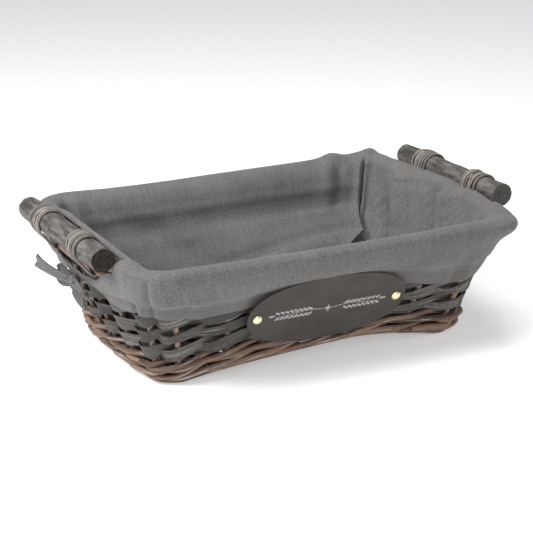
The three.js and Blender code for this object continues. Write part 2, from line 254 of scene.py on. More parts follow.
def makeLinen():
    shop = Shop("linen")
    weft = shop.grain(330, linenLook["thread"], 2.5)
    warp = shop.grain(linenLook["thread"], 380, 2.5)
    speck = shop.grain(760, 700, 2.0)
    slub = shop.grain(300, 46, 2.0)
    cloud = shop.grain(16, 16, 3.0)
    mottle = warp * 0.34 + weft * 0.30 + speck * 0.24 + slub * 0.12
    mask = (mottle - 0.5) * 3.4 + 0.5 + (cloud - 0.5) * 0.5
    hemShade = shop.tone()
    cloth = shop.blend(mask.between(0.05, 0.95), linenLook["dark"], linenLook["light"])
    # painted shade: the cuff's lower rows are darkened towards the hem colour
    colour = shop.blend(hemShade * 0.5, cloth, linenLook["hem"])
    height = warp * 0.6 + weft * 0.6 + speck * 0.4 + cloud * 0.5
    normal = shop.relief(height, 0.6, 0.0005)
    return shop.finish(Base_Color=colour, Roughness=mottle * 0.15 + 0.82, Normal=normal,
                       Sheen_Weight=0.15, Sheen_Roughness=0.5, Specular_IOR_Level=0.2)


chipLook = {
    "pale": (0.180, 0.169, 0.155),
    "grey": (0.046, 0.043, 0.039),
    "deep": (0.012, 0.011, 0.010),
    "worn": (0.32, 0.30, 0.28),
}


def makeChip():
    shop = Shop("splitStrip")
    tone = shop.tone()
    grain = shop.grain(20, 520, 5.0, 0.62)
    fine = shop.grain(260, 900, 4.0, 0.7)
    patch = shop.grain(38, 90, 3.0, 0.6)
    fibres = grain * 0.5 + fine * 0.5
    base = shop.blend(fibres.between(0.40, 0.62), chipLook["grey"], chipLook["pale"])
    shaded = shop.blend((tone * 0.8 + patch * 0.5).between(0.28, 0.9), chipLook["grey"], base)
    cracks = shop.grain(12, 620, 4.0, 0.7).between(0.58, 0.70)
    colour = shop.blend(cracks * 0.7, shaded, chipLook["deep"])
    scratch = shop.grain(20, 520, 3.0, 0.55).between(0.60, 0.66)
    wear = (patch.between(0.60, 0.78) * 0.2 + scratch * 0.6).between(0, 1)
    worn = shop.blend(wear, colour, chipLook["worn"])
    normal = shop.relief(fibres - cracks * 0.6, 0.7, 0.0005)
    return shop.finish(Base_Color=worn, Roughness=fibres * 0.2 + 0.68, Normal=normal,
                       Specular_IOR_Level=0.3)


barkLook = {
    "rust": (0.250, 0.152, 0.108),
    "umber": (0.060, 0.038, 0.029),
    "tan": (0.28, 0.195, 0.14),
    "scuff": (0.44, 0.40, 0.37),
}


def makeBark():
    shop = Shop("willowBark")
    tone = shop.tone()
    streak = shop.grain(18, 340, 5.0, 0.65)
    fine = shop.grain(120, 1900, 3.0, 0.6)
    patch = shop.grain(30, 60, 3.0, 0.6)
    ruddy = (streak * 0.9 + tone * 0.3).between(0.42, 0.78)
    body = shop.blend(ruddy, barkLook["umber"], barkLook["rust"])
    tanned = shop.blend(tone.between(0.5, 0.95) * 0.5, body, barkLook["tan"])
    rub = shop.grain(24, 420, 4.0, 0.6)
    scuffs = (patch * 0.35 + rub * 0.65).between(0.52, 0.60)
    colour = shop.blend(scuffs * 0.8, tanned, barkLook["scuff"])
    normal = shop.relief(streak * 0.7 + fine * 0.3 + scuffs * 0.2, 0.6, 0.0005)
    return shop.finish(Base_Color=colour, Roughness=streak * 0.25 + 0.50, Normal=normal,
                       Specular_IOR_Level=0.4)


willowLook = {"dark": (0.13, 0.085, 0.060), "light": (0.31, 0.22, 0.165), "knot": (0.10, 0.06, 0.04)}


def makePeeledWillow():
    shop = Shop("peeledWillow")
    tone = shop.tone()
    streak = shop.grain(24, 520, 5.0, 0.6)
    knots = shop.grain(60, 90, 2.0).between(0.62, 0.74)
    mask = (streak * 0.8 + tone * 0.3).between(0.3, 0.8)
    body = shop.blend(mask, willowLook["dark"], willowLook["light"])
    colour = shop.blend(knots * 0.5, body, willowLook["knot"])
    normal = shop.relief(streak, 0.5, 0.0004)
    return shop.finish(Base_Color=colour, Roughness=streak * 0.2 + 0.55, Normal=normal)


logBarkLook = {
    "wash": (0.172, 0.160, 0.153),
    "bark": (0.045, 0.040, 0.037),
    "chalk": (0.60, 0.58, 0.56),
    "crack": (0.03, 0.025, 0.022),
}


def makeLogBark():
    shop = Shop("logBark")
    streak = shop.grain(28, 130, 5.0, 0.62)
    grit = shop.grain(380, 520, 4.0, 0.7)
    patch = shop.grain(36, 40, 3.0, 0.6)
    washed = (streak * 0.65 + grit * 0.35).between(0.40, 0.60)
    body = shop.blend(washed, logBarkLook["bark"], logBarkLook["wash"])
    chalk = (patch * 0.7 + grit * 0.3).between(0.60, 0.68)
    colour = shop.blend(chalk * 0.6, body, logBarkLook["chalk"])
    cracks = shop.grain(16, 240, 5.0, 0.7).between(0.60, 0.68)
    darker = shop.blend(cracks * 0.75, colour, logBarkLook["crack"])
    normal = shop.relief(streak * 0.5 + grit * 0.5 - cracks * 0.8, 0.8, 0.0008)
    return shop.finish(Base_Color=darker, Roughness=grit * 0.2 + 0.70, Normal=normal,
                       Specular_IOR_Level=0.3)


endLook = {
    "left": {"dark": (0.010, 0.008, 0.007), "pale": (0.064, 0.055, 0.048), "rings": 0.12},
    "right": {"dark": (0.026, 0.024, 0.023), "pale": (0.165, 0.158, 0.152), "rings": 0.38},
    "blotch": (0.09, 0.08, 0.07),
}


def makeEndGrain(name):
    # the end's uv holds the distance from the pith and the turn around it
    look = endLook[name]
    shop = Shop(f"endGrain_{name}")
    rough = shop.speckle(900, 4.0, 0.7)
    blotch = shop.speckle(170, 3.0)
    radius = shop.node("ShaderNodeSeparateXYZ", None, [shop.uv()])
    waved = radius * 3300 + blotch * 5.5
    rings = waved.math("SINE") * 0.5 + 0.5
    grain = rings * look["rings"] + rough * (1 - look["rings"])
    body = shop.blend(grain.between(0.36, 0.68), look["dark"], look["pale"])
    colour = shop.blend(blotch.between(0.55, 0.8) * 0.4, body, endLook["blotch"])
    normal = shop.relief(grain, 0.9, 0.0009)
    return shop.finish(Base_Color=colour, Roughness=0.92, Normal=normal, Specular_IOR_Level=0.15)


peelLook = {"dark": (0.050, 0.045, 0.040), "light": (0.300, 0.268, 0.236), "stain": (0.13, 0.12, 0.112)}


def makePeel():
    shop = Shop("splitPeel")
    tone = shop.tone()
    fibres = shop.grain(34, 1300, 4.0, 0.6)
    patch = shop.grain(120, 160, 3.0)
    mask = (fibres * 0.7 + tone * 0.4).between(0.3, 0.85)
    body = shop.blend(mask, peelLook["dark"], peelLook["light"])
    colour = shop.blend(patch.between(0.55, 0.75) * 0.5, body, peelLook["stain"])
    normal = shop.relief(fibres, 0.6, 0.0004)
    return shop.finish(Base_Color=colour, Roughness=fibres * 0.25 + 0.5, Normal=normal)


boardLook = {
    "dark": (0.026, 0.021, 0.018),
    "light": (0.038, 0.031, 0.026),
    "worn": (0.085, 0.075, 0.066),
}


def makePlaqueBoard():
    shop = Shop("plaqueHide")
    pores = shop.speckle(2600, 3.0, 0.6)
    cloud = shop.speckle(45, 3.0)
    wear = shop.speckle(300, 4.0, 0.7)
    body = shop.blend(cloud.between(0.3, 0.7), boardLook["dark"], boardLook["light"])
    colour = shop.blend((pores * 0.5 + wear * 0.5).between(0.5, 0.8) * 0.35, body, boardLook["worn"])
    normal = shop.relief(pores * 0.7 + wear * 0.3, 0.35, 0.0003)
    return shop.finish(Base_Color=colour, Roughness=wear * 0.2 + 0.48, Normal=normal)


inkLook = {"rubbed": (0.16, 0.15, 0.145), "fresh": (0.46, 0.46, 0.46)}


def makePlaqueInk():
    shop = Shop("plaqueInk")
    rub = shop.speckle(1400, 4.0, 0.7)
    colour = shop.blend(rub.between(0.35, 0.62), inkLook["rubbed"], inkLook["fresh"])
    return shop.finish(Base_Color=colour, Roughness=rub * 0.2 + 0.55)


brassLook = {"bright": (0.98, 0.90, 0.60), "dull": (0.90, 0.78, 0.48)}


def makeBrass():
    shop = Shop("studBrass")
    spots = shop.speckle(900, 4.0, 0.65)
    colour = shop.blend(spots.between(0.35, 0.75), brassLook["bright"], brassLook["dull"])
    normal = shop.relief(spots, 0.15, 0.0002)
    return shop.finish(Base_Color=colour, Roughness=spots * 0.2 + 0.34, Normal=normal, Metallic=1.0)


floorLook = {"dark": (0.84, 0.84, 0.84), "light": (0.87, 0.87, 0.87), "glow": 0.36}


def makeFloorLook():
    shop = Shop("paleFloor")
    grain = shop.speckle(60, 3.0)
    colour = shop.blend(grain, floorLook["dark"], floorLook["light"])
    return shop.finish(Base_Color=colour, Roughness=0.9, Specular_IOR_Level=0.1,
                       Emission_Color=(1, 1, 1, 1), Emission_Strength=floorLook["glow"])


looks = {
    "linen": makeLinen(),
    "chip": makeChip(),
    "bark": makeBark(),
    "willow": makePeeledWillow(),
    "log": makeLogBark(),
    "endGrain_left": makeEndGrain("left"),
    "endGrain_right": makeEndGrain("right"),
    "peel": makePeel(),
    "plaque": makePlaqueBoard(),
    "ink": makePlaqueInk(),
    "brass": makeBrass(),
    "floor": makeFloorLook(),
}
print("materials made:", len(looks))


# mesh builders

def makePiece(name, points, faces, uvs, look, replaced=(), tones=None):
    # uvs holds one pair in metres for each corner of each face
    mesh = bpy.data.meshes.new(name)
    mesh.from_pydata([tuple(p) for p in points], [], faces)
    layer = mesh.uv_layers.new(name="metres")
    layer.data.foreach_set("uv", [c for face in uvs for pair in face for c in pair])
    if tones is not None:
        attribute = mesh.attributes.new("tone", "FLOAT", "FACE")
        attribute.data.foreach_set("value", tones)
    mesh.polygons.foreach_set("use_smooth", [True] * len(faces))
    mesh.materials.append(looks[look])
    mesh.validate()
    piece = bpy.data.objects.new(name, mesh)
    scene.collection.objects.link(piece)
    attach(piece, "root")
    if replaced:
        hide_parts(*replaced)
    return piece


def frontUvs(points, faces):
    return [tuple((points[i].x, points[i].z) for i in corners) for corners in faces]


def rounded(points, steps):
    # a smooth curve through the points, with steps between each two
    padded = [points[0] * 2 - points[1], *points, points[-1] * 2 - points[-2]]
    curve = []
    for a, b, c, d in zip(padded, padded[1:], padded[2:], padded[3:]):
        for i in range(steps):
            t = i / steps
            curve.append(0.5 * (2 * b + (c - a) * t + (2 * a - 5 * b + 4 * c - d) * t ** 2
                                + (3 * b - a - 3 * c + d) * t ** 3))
    curve.append(points[-1].copy())
    return curve


class Bundle:
    # collects swept strips and rods into one mesh
    def __init__(self):
        self.points, self.faces, self.uvs, self.tones = [], [], [], []

    def sweep(self, path, ups, section, tone=0.5, start=0.0):
        # section(i, share) gives the outline there as (up, side) pairs in metres
        first, rings, along, far = len(self.points), [], [], start
        for i, point in enumerate(path):
            before, after = path[max(0, i - 1)], path[min(len(path) - 1, i + 1)]
            tangent = (after - before).normalized()
            up = (ups[i] - tangent * ups[i].dot(tangent)).normalized()
            side = tangent.cross(up)
            if i:
                far += (point - path[i - 1]).length
            outline = section(i, i / (len(path) - 1))
            rings.append(outline)
            along.append(far)
            self.points.extend(point + up * a + side * b for a, b in outline)
        count = len(rings[0])
        around = [0.0]
        middle = rings[len(rings) // 2]
        for k in range(count):
            a, b = Vector(middle[k]), Vector(middle[(k + 1) % count])
            around.append(around[-1] + (b - a).length)
        for i in range(len(path) - 1):
            for k in range(count):
                low, high = first + i * count, first + (i + 1) * count
                j = (k + 1) % count
                self.faces.append((low + k, low + j, high + j, high + k))
                self.uvs.append(((along[i], around[k]), (along[i], around[k + 1]),
                                 (along[i + 1], around[k + 1]), (along[i + 1], around[k])))
                self.tones.append(tone)
        for ring, order in ((0, -1), (len(path) - 1, 1)):
            corners = [first + ring * count + k for k in range(count)][::order]
            self.faces.append(tuple(corners))
            self.uvs.append(tuple((along[ring] + a, b) for a, b in rings[ring][::order]))
            self.tones.append(tone * 0.6)

    def make(self, name, look, replaced=(), crisp=None):
        piece = makePiece(name, self.points, self.faces, self.uvs, look, replaced, self.tones)
        if crisp is not None:
            piece.data.set_sharp_from_angle(angle=crisp)
        return piece


def roundSection(radius, sides, seed, taper=(1.0, 1.0), rough=0.07):
    def section(i, share):
        here = radius * mix(taper[0], taper[1], share)
        outline = []
        for k in range(sides):
            angle = 2 * math.pi * k / sides
            swell = 1 + rough * wander(math.cos(angle), math.sin(angle), i * 0.35, 1.0, seed)
            outline.append((here * swell * math.cos(angle), here * swell * math.sin(angle)))
        return outline
    return section


def stripSection(width, thick, seed, cup=0.0, tip=0.0):
    # a split strip: uneven edges, a little cupped, and narrowed over its two ends
    def section(i, share):
        ends = clamp(min(share, 1 - share) / tip) if tip else 1.0
        wide = width * mix(0.25, 1.0, math.sqrt(ends))
        top = wide / 2 * (1 + 0.16 * wander(i * 0.22, 0, 0, 1.0, seed))
        foot = -wide / 2 * (1 + 0.16 * wander(i * 0.22, 5, 0, 1.0, seed))
        half, lip = thick / 2, thick * 0.32
        mid, dip = (top + foot) / 2, cup * thick
        footIn, topIn = mix(foot, mid, 0.2), mix(top, mid, 0.2)
        return [(foot, -lip), (footIn, -half), (mid, -half - dip), (topIn, -half), (top, -lip),
                (top, lip), (topIn, half), (mid, half - dip), (footIn, half), (foot, lip)]
    return section


# frame of the basket: stakes, foot, base and rim

stakeLook = {"radius": 0.0027, "sides": 10, "foot": 0.0035, "head": 0.109, "sway": 0.0010}


def makeStakes():
    for number, walk in enumerate(stakes, 1):
        draw = random.Random(number)
        radius = stakeLook["radius"] * draw.uniform(0.92, 1.10)
        foot = stakeLook["foot"] + archAt(walk, wallPlace(walk, 0.01)[0].x)
        path = []
        for i in range(9):
            z = mix(foot, stakeLook["head"], i / 8)
            bend = stakeLook["sway"] * wander(number, 0, z, 0.03, 4)
            path.append(wallPoint(walk + bend * 1.5, z, bend))
        curve = rounded(path, 3)
        ups = [wallPlace(walk, 0.06)[1]] * len(curve)
        rod = Bundle()
        section = roundSection(radius, stakeLook["sides"], number, (1.08, 0.94))
        rod.sweep(curve, ups, section, draw.uniform(0.2, 0.9))
        rod.make(f"stakeRod_{number}", "willow", [f"stake_{number}"])


def ringPath(heightAt, offset, count, wobble=0.0, seed=0):
    # once round the wall, a little past its start
    path, ups = [], []
    for i in range(count + 1):
        walk = 4 * i / count
        place = wallPlace(walk, 0.05)[0]
        z = heightAt(walk, place.x) + wobble * wander(place.x, place.y, 0, 0.05, seed)
        path.append(wallPoint(walk, z, offset + wobble * wander(place.x, place.y, 1, 0.06, seed + 1)))
        ups.append(wallUp(walk, z))
    return path, ups


footLook = {"radius": 0.0029, "height": 0.0030, "steps": 220, "wobble": 0.0004}
rimLook = {"radius": 0.0027, "steps": 200, "wobble": 0.0005}
rodSides = 10
rimRods = {  # height, and offset from the wall's middle
    "inner": (0.111, -0.0056),
    "top": (0.1182, -0.0032),
    "crown": (0.1240, -0.0043),
    "outer_lower": (0.1106, 0.0085),
    "outer_upper": (0.1221, 0.0085),
}


def rimDrop(walk):
    # the rim sits a little lower along the front, and lower still than the back
    front = abs((walk - 0.5 + 2) % 4 - 2)
    back = abs((walk - 2.5 + 2) % 4 - 2)
    return 0.0052 * (1 - smooth(front, 0.51, 0.61)) + 0.0020 * (1 - smooth(back, 0.30, 0.50))


def archAt(walk, x):
    # the long sides' arch, which rises further near the plaque's right half
    side = math.floor(walk) % 4
    if side == 0:
        return archLift(x) + 0.005 * bump(x, 0.055, 0.062)
    return archLift(x) if side == 2 else 0.0


def makeFootAndRim():
    path, ups = ringPath(lambda walk, x: footLook["height"] + archAt(walk, x), 0.0,
                         footLook["steps"], footLook["wobble"], 3)
    foot = Bundle()
    foot.sweep(path, ups, roundSection(footLook["radius"], rodSides, 31), 0.35)
    foot.make("footRod", "bark", ["foot_ring"])
    for number, (name, (height, offset)) in enumerate(rimRods.items()):
        path, ups = ringPath(lambda walk, x: height - rimDrop(walk), offset,
                             rimLook["steps"], rimLook["wobble"], number)
        rod = Bundle()
        section = roundSection(rimLook["radius"], rodSides, 40 + number)
        rod.sweep(path, ups, section, 0.3 + 0.15 * number)
        rod.make(f"rimRod_{name}", "bark", [f"rim_rod_{name}"])


baseLook = {
    "stick": 0.0023,
    "steps": 24,
    "weaver": 0.0262,
    "thick": 0.0010,
    "lift": 0.0032,
    "passes": 13,
    "inset": 0.014,
    "endGap": 0.003,
    "turnDown": 0.058,  # where the strips leave the base's level for the foot rod
}


def makeBase():
    for number in (1, 2, 3):
        low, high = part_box(f"base_stick_{number}")
        middle = (low + high) / 2
        path = []
        for i in range(baseLook["steps"] + 1):
            sway = 0.0008 * wander(i, number, 0, 4.0)
            path.append(Vector((mix(low.x, high.x, i / baseLook["steps"]), middle.y + sway, middle.z)))
        section = roundSection(baseLook["stick"], rodSides, number)
        stick = Bundle()
        stick.sweep(path, [Vector((0, 0, 1))] * len(path), section, 0.4)
        stick.make(f"baseStick_{number}", "willow", [f"base_stick_{number}"])
    middle = sum(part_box("base_weaver"), Vector()) / 2
    reachX = wall["footHalfLength"] - baseLook["inset"]
    reachY = wall["footHalfDepth"] - baseLook["endGap"]
    weaver = Bundle()
    passes, sticks = baseLook["passes"], [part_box(f"base_stick_{n}") for n in (1, 2, 3)]
    levels = [(a.y + b.y) / 2 for a, b in sticks]
    for index in range(passes):
        x = mix(-reachX, reachX, index / (passes - 1))
        sign = 1 if index % 2 else -1
        keys = [(middleY - reachY, 0.0)]
        keys += [(y, sign * (-1) ** k * baseLook["lift"]) for k, y in enumerate(levels)]
        keys.append((middleY + reachY, 0.0))
        path = []
        for i in range(41):
            y = mix(keys[0][0], keys[-1][0], i / 40)
            skew = 0.0012 * wander(x, y, 0, 0.05, 9)
            out = smooth(abs(y - middleY), baseLook["turnDown"], reachY)
            arch = archAt(0.5, x) if y < middleY else archLift(x)
            level = mix(middle.z, footLook["height"] + arch, out)
            path.append(Vector((x + skew, y, level + eased(y, keys) * (1 - out))))
        section = stripSection(baseLook["weaver"], baseLook["thick"], index, 0.3)
        weaver.sweep(path, [Vector((1, 0, 0))] * len(path), section, 0.3 + 0.04 * index)
    weaver.make("baseStrips", "chip", ["base_weaver"])


makeStakes()
makeFootAndRim()
makeBase()
print("stakes, foot, base and rim made")


# brown rods twined along the foot

waleLook = {
    "rows": (0.0098, 0.0205),
    "radius": 0.0026,
    "reach": 0.0059,  # how far a rod's middle stands from the stakes' middle
    "climb": 0.0041,  # above and below the row's own height
    "fade": 0.045,  # the foot's arch dies away over this height
}


def makeWales():
    names = (("1a", "1b", "1b"), ("2a", "2b", "2b"))
    for row, height in enumerate(waleLook["rows"]):
        for rod in range(3):
            draw = random.Random(50 + row * 3 + rod)
            points, ups = [], []
            for turn in range(len(stakes) + 1):
                here, after = stakes[turn % 24], stakes[(turn + 1) % 24]
                if after < here:
                    after += 4
                kind = (turn + rod + row) % 3  # behind this stake, then before two, climbing all the way
                at, between = (((-1, 0), (0.1, -1)), ((1, -0.5), (1.05, 0)), ((1, 0.5), (0.1, 1)))[kind]
                for walk, (out, up) in ((here, at), ((here + after) / 2, between)):
                    x = wallPlace(walk, height)[0].x
                    fade = 1 - smooth(height, 0.02, waleLook["fade"]) * 0.4
                    z = height + archAt(walk % 4, x) * fade + up * waleLook["climb"]
                    z += 0.0006 * draw.uniform(-1, 1)
                    extra = waleLook["reach"] * out + 0.0005 * draw.uniform(-1, 1)
                    points.append(wallPoint(walk, z, extra))
                    ups.append(wallUp(walk, z))
            steps = 4
            curve = rounded(points[:-1], steps)
            frames = [ups[min(len(ups) - 1, i // steps)] for i in range(len(curve))]
            made = Bundle()
            sectionSeed = 60 + row * 3 + rod
            cuts = [0, *sorted(draw.sample(range(30, len(curve) - 30), 4)), len(curve) - 1]
            for a, b in zip(cuts, cuts[1:]):
                # each rod runs on from the last: its butt is thicker than its tip
                thick = waleLook["radius"] * draw.uniform(0.9, 1.15)
                section = roundSection(thick, 9, sectionSeed + a, (1.12, 0.82), 0.10)
                made.sweep(curve[a:b + 2], frames[a:b + 2], section, draw.uniform(0.1, 0.95))
            made.make(f"waleRod_{row + 1}_{rod + 1}", "bark", [f"wale_rod_{names[row][rod]}"])


makeWales()
print("foot rods made")


# grey split strips twined up the wall

stripLook = {
    "rows": (0.0355, 0.0540, 0.0725, 0.0905),
    "width": 0.0132,
    "thick": 0.0010,
    "reach": 0.0042,  # from the stakes' middle, in front and behind
    "rise": 0.0036,
    "roll": math.radians(8),
    "stepsPerStake": 10,
    "tipReach": 0.0009,
    "crisp": math.radians(28),  # edges sharper than this catch the light
}


def makeStrips():
    steps = stripLook["stepsPerStake"]
    for row, height in enumerate(stripLook["rows"]):
        for half in range(2):
            seed = 100 + row * 2 + half
            draw = random.Random(seed)
            path, ups = [], []
            for i in range(24 * steps + 1):
                stake, part = divmod(i, steps)
                here, after = stakes[stake % 24], stakes[(stake + 1) % 24]
                if after < here:
                    after += 4
                walk = mix(here, after, part / steps)
                phase = math.pi * (i / steps + half + row)
                front, side = math.cos(phase), math.sin(phase)
                x = wallPlace(walk, height)[0].x
                lift = archAt(walk % 4, x) * (1 - smooth(height, 0.02, 0.085)) * 0.8
                wave = 0.0016 * wander(walk * 9, row, half, 1.0, 2)
                z = height + lift + stripLook["rise"] * side + wave
                # flatter over the stake, so the strip hugs it
                out = math.copysign(abs(front) ** 0.8, front) * stripLook["reach"]
                path.append(wallPoint(walk, z, out))
                roll = stripLook["roll"] * abs(side)
                outward = wallPlace(walk, z)[1]
                ups.append(wallUp(walk, z) * math.cos(roll) + outward * math.sin(roll))
            made = Bundle()
            start = 0
            while start < len(path) - 1:
                stakesLong = draw.choice((3, 4, 4, 5, 6))
                end = min(len(path) - 1, start + stakesLong * steps + draw.randint(-3, 3))
                if len(path) - 1 - end < 2 * steps:
                    end = len(path) - 1
                width = stripLook["width"] * draw.uniform(0.80, 1.15)
                shift = stripLook["tipReach"] * draw.uniform(-0.6, 0.6)
                piece = [p + ups[start + k] * shift for k, p in enumerate(path[start:end + 1])]
                thick = stripLook["thick"] * draw.uniform(0.8, 1.25)
                section = stripSection(width, thick, seed + start, 0.25, 0.10)
                made.sweep(piece, ups[start:end + 1], section, draw.uniform(0.0, 1.0), start * 0.02)
                start = end - 2 if end < len(path) - 1 else end
            letter = "ab"[half]
            made.make(f"splitStrip_{row + 1}{letter}", "chip", [f"chip_strand_{row + 1}{letter}"],
                      stripLook["crisp"])


makeStrips()
print("split strips made")


# linen liner

linerLook = {
    "columns": 800,
    "steps": 5,
    "floorRings": 22,
    "thick": 0.0009,
    "slitShare": 0.74,
    "leftLean": 0.014,
    "clear": -0.0094,
    "wallClear": -0.0066,
    "tapeHeight": 0.0885,
    "seamFade": 0.086,  # the risen seam pushes the rows up as far as this
    "hemFade": 0.105,  # the hem's own height pulls the rows down from here
    # (walk, height) all the way round
    "seam": ((1.66, 0.038), (1.80, 0.0465), (1.91, 0.0560), (2.01, 0.0615), (2.09, 0.0630),
             (2.2, 0.0615), (2.3, 0.0565), (2.4, 0.0510), (2.5, 0.0460), (2.65, 0.038)),
    "hems": ((0, 0.0785), (0.128, 0.0740), (0.247, 0.0760), (0.5, 0.0745), (0.733, 0.0740),
             (0.833, 0.0672), (0.88, 0.0635), (0.944, 0.0642), (1.0, 0.0660), (1.2, 0.0740),
             (1.8, 0.0740), (2.0, 0.0730), (2.5, 0.0750), (3.0, 0.0740), (3.8, 0.0745),
             (3.95, 0.0800), (4, 0.0785)),
    # (height, offset from the wall's middle) from the floor up to the ridge
    "inside": {
        "plain": ((0.038, -0.0170), (0.055, -0.0145), (0.080, -0.0115), (0.112, -0.0100),
                  (0.126, -0.0088)),
        "back": ((0.040, -0.0290), (0.055, -0.0240), (0.075, -0.0162), (0.090, -0.0108),
                 (0.106, -0.0142), (0.118, -0.0134), (0.126, -0.0105)),
        "right": ((0.038, -0.0240), (0.055, -0.0190), (0.080, -0.0140), (0.112, -0.0125),
                  (0.126, -0.0095)),
    },
    "ridge": ((-0.0055, 0.1303), (0.0000, 0.1318), (0.0060, 0.1308), (0.0112, 0.1270)),
    "cuff": ((0.0140, 0.1190), (0.0146, 0.1050), (0.0138, 0.0925), (0.0100, 0.0886), (0.0096, 0.0810),
             (0.0090, 0.0745)),
}
insideHeights = (0.038, 0.046, 0.056, 0.066, 0.076, 0.086, 0.095, 0.104, 0.112, 0.119, 0.126)


def sideShare(walk, side):
    # 1 along a side, falling to 0 round its corners
    reach = abs((walk - side - 0.5 + 2) % 4 - 2)
    return 1 - smooth(reach, 0.44, 0.52)


def near(walk, place, width):
    return bump((walk - place + 2) % 4 - 2, 0, width)


# folds of the inner face: (outwards, walk, slant, width, height without it, height in full)
insideFolds = (
    (0.0130, 2.004, 0.03, 0.007, -1, 0),
    (-0.0075, 2.026, 0.03, 0.022, -1, 0),
    (-0.0065, 1.980, 0.03, 0.022, -1, 0),
    (0.0042, 2.112, 0, 0.018, 0.35, 0.8),
    (-0.0048, 2.152, 0, 0.032, 0.3, 0.8),
    (0.0150, 1.925, -0.22, 0.030, 1.0, 0.85),
    (-0.0160, 1.70, -0.06, 0.060, 0.0, 0.7),
    (0.0180, 1.53, -0.30, 0.045, 0.15, 0.6),
    (-0.0190, 1.38, -0.24, 0.045, 0.2, 0.7),
    (0.0120, 1.24, -0.22, 0.035, 0.3, 0.8),
    (0.0060, 0.04, 0, 0.030, -1, 0),
    (0.0060, 2.985, 0, 0.020, -1, 0),
    (-0.0060, 2.94, 0, 0.030, 0.3, 0.8),
)
# folds that swell part way up: (outwards, walk, slant, width, middle height, spread)
bellyFolds = (
    (0.0034, 2.87, -0.30, 0.060, 0.40, 0.34),
    (-0.0030, 2.78, -0.30, 0.070, 0.40, 0.34),
    (-0.0040, 2.45, 0, 0.10, 0.25, 0.2),
)
# folds of the cuff outside: (outwards, walk, width, height without it, height in full)
cuffFolds = (
    (-0.0032, 0.0, 0.006, -1, 0),
    (0.0014, 0.018, 0.014, -1, 0),
    (0.0026, 0.035, 0.018, 0.108, 0.080),
    (-0.0030, 0.068, 0.016, 0.108, 0.080),
    (0.0022, 0.10, 0.02, 0.108, 0.080),
    (-0.0016, 0.16, 0.03, 0.108, 0.080),
    (0.0022, 3.965, 0.014, 0.108, 0.080),
    (-0.0028, 3.94, 0.012, 0.108, 0.080),
    (0.0026, 0.93, 0.018, 0.108, 0.080),
    (-0.0030, 0.892, 0.016, 0.108, 0.080),
    # the front right corner stands out under the ridge and is drawn in below
    (0.0095, 1.0, 0.055, 0.106, 0.116),
    (-0.0030, 1.01, 0.070, 0.104, 0.088),
)
# humps and dips along the ridge: (rise, walk, width)
ridgeHumps = ((0.0035, 2.0, 0.02), (0.0030, 2.115, 0.03), (-0.0015, 2.06, 0.025), (-0.0015, 1.90, 0.04))


def insideFold(walk, height):
    # height runs from 0 at the floor to 1 at the ridge
    fold = 0.0
    for table, share in ((insideFolds, smooth), (bellyFolds, bump)):
        for outwards, place, slant, width, low, high in table:
            fold += outwards * near(walk, place + slant * (1 - height), width) * share(height, low, high)
    return fold


def cuffFold(walk, z):
    fold = sum(outwards * near(walk, place, width) * smooth(z, low, high)
               for outwards, place, width, low, high in cuffFolds)
    # the plaque presses the cuff in behind it
    pressed = 1 - smooth(abs((walk - 0.487 + 2) % 4 - 2), 0.21, 0.27)
    fold -= 0.0034 * pressed * (1 - smooth(z, 0.094, 0.104))
    # crumples at the front right corner
    return fold + 0.0020 * near(walk, 1.02, 0.04) * math.sin(z * 460) * (1 - smooth(z, 0.10, 0.115))


def seamHeight(walk):
    # the floor panel rides up at the back right corner
    return eased(walk % 4, linerLook["seam"])


def linerColumn(walk):
    # points of the liner at this walk, from the floor's edge to the hem
    inside = linerLook["inside"]
    backness, rightness, leftness = sideShare(walk, 2), sideShare(walk, 1), sideShare(walk, 3)
    onShort = rightness + leftness
    share = 2 * (walk - math.floor(walk)) - 1
    reach = linerLook["slitShare"]
    slit = onShort * (1 - smooth(abs(share), reach - 0.08, reach + 0.08))
    seam = seamHeight(walk)
    lean = leftness * slit * max(0.0, 1 - ((share + 0.08) / 0.85) ** 2) * linerLook["leftLean"]
    keys = []
    for z in insideHeights:
        plain = eased(z, inside["plain"])
        offset = plain + backness * (eased(z, inside["back"]) - plain)
        offset += rightness * (eased(z, inside["right"]) - plain)
        height = (z - insideHeights[0]) / (insideHeights[-1] - insideHeights[0])
        offset += insideFold(walk, height)
        # the rim rods lie behind its upper part, and the weave behind the rest
        offset = min(offset, mix(linerLook["wallClear"], linerLook["clear"], smooth(z, 0.082, 0.092)))
        offset -= lean * smooth(z, 0.095, 0.128)
        if z == insideHeights[0]:
            offset -= 0.0040  # the floor's seam stands in from the wall
        low, high = insideHeights[0], linerLook["seamFade"]
        raised = mix(seam, high, (z - low) / (high - low)) if z < high else z
        keys.append((offset, raised - rimDrop(walk) * smooth(raised, 0.100, 0.118)))
    peak = sum(rise * near(walk, place, width) for rise, place, width in ridgeHumps)
    peak += 0.0010 * wander(walk * 5, 1, 0, 1.0, 5) - rimDrop(walk)
    for number, (offset, z) in enumerate(linerLook["ridge"]):
        outer = number / 3
        offset += (0.0095 * near(walk, 1.0, 0.055) + 0.0050 * near(walk, 2.0, 0.03)) * outer - lean
        keys.append((offset, z + peak - slit * 0.0010))
    hem = eased(walk % 4, linerLook["hems"])
    high, bottom = linerLook["hemFade"], linerLook["cuff"][-1][1]
    gather = onShort * (1 - smooth(abs(share), 0.24, 0.80))
    for offset, z in linerLook["cuff"]:
        z -= rimDrop(walk) * smooth(z, 0.100, 0.118)
        if z < high:
            z = mix(hem, high, (z - bottom) / (high - bottom))
        offset += cuffFold(walk, z)
        tape = linerLook["tapeHeight"] + (z - 0.098) * 0.20
        crumple = 0.0014 * math.sin(z * 900 + 5 * wander(walk * 7, z * 40, 0, 1.0, 8))
        keys.append((mix(offset, 0.0098 + crumple, gather), mix(z, tape, gather)))
    return keys


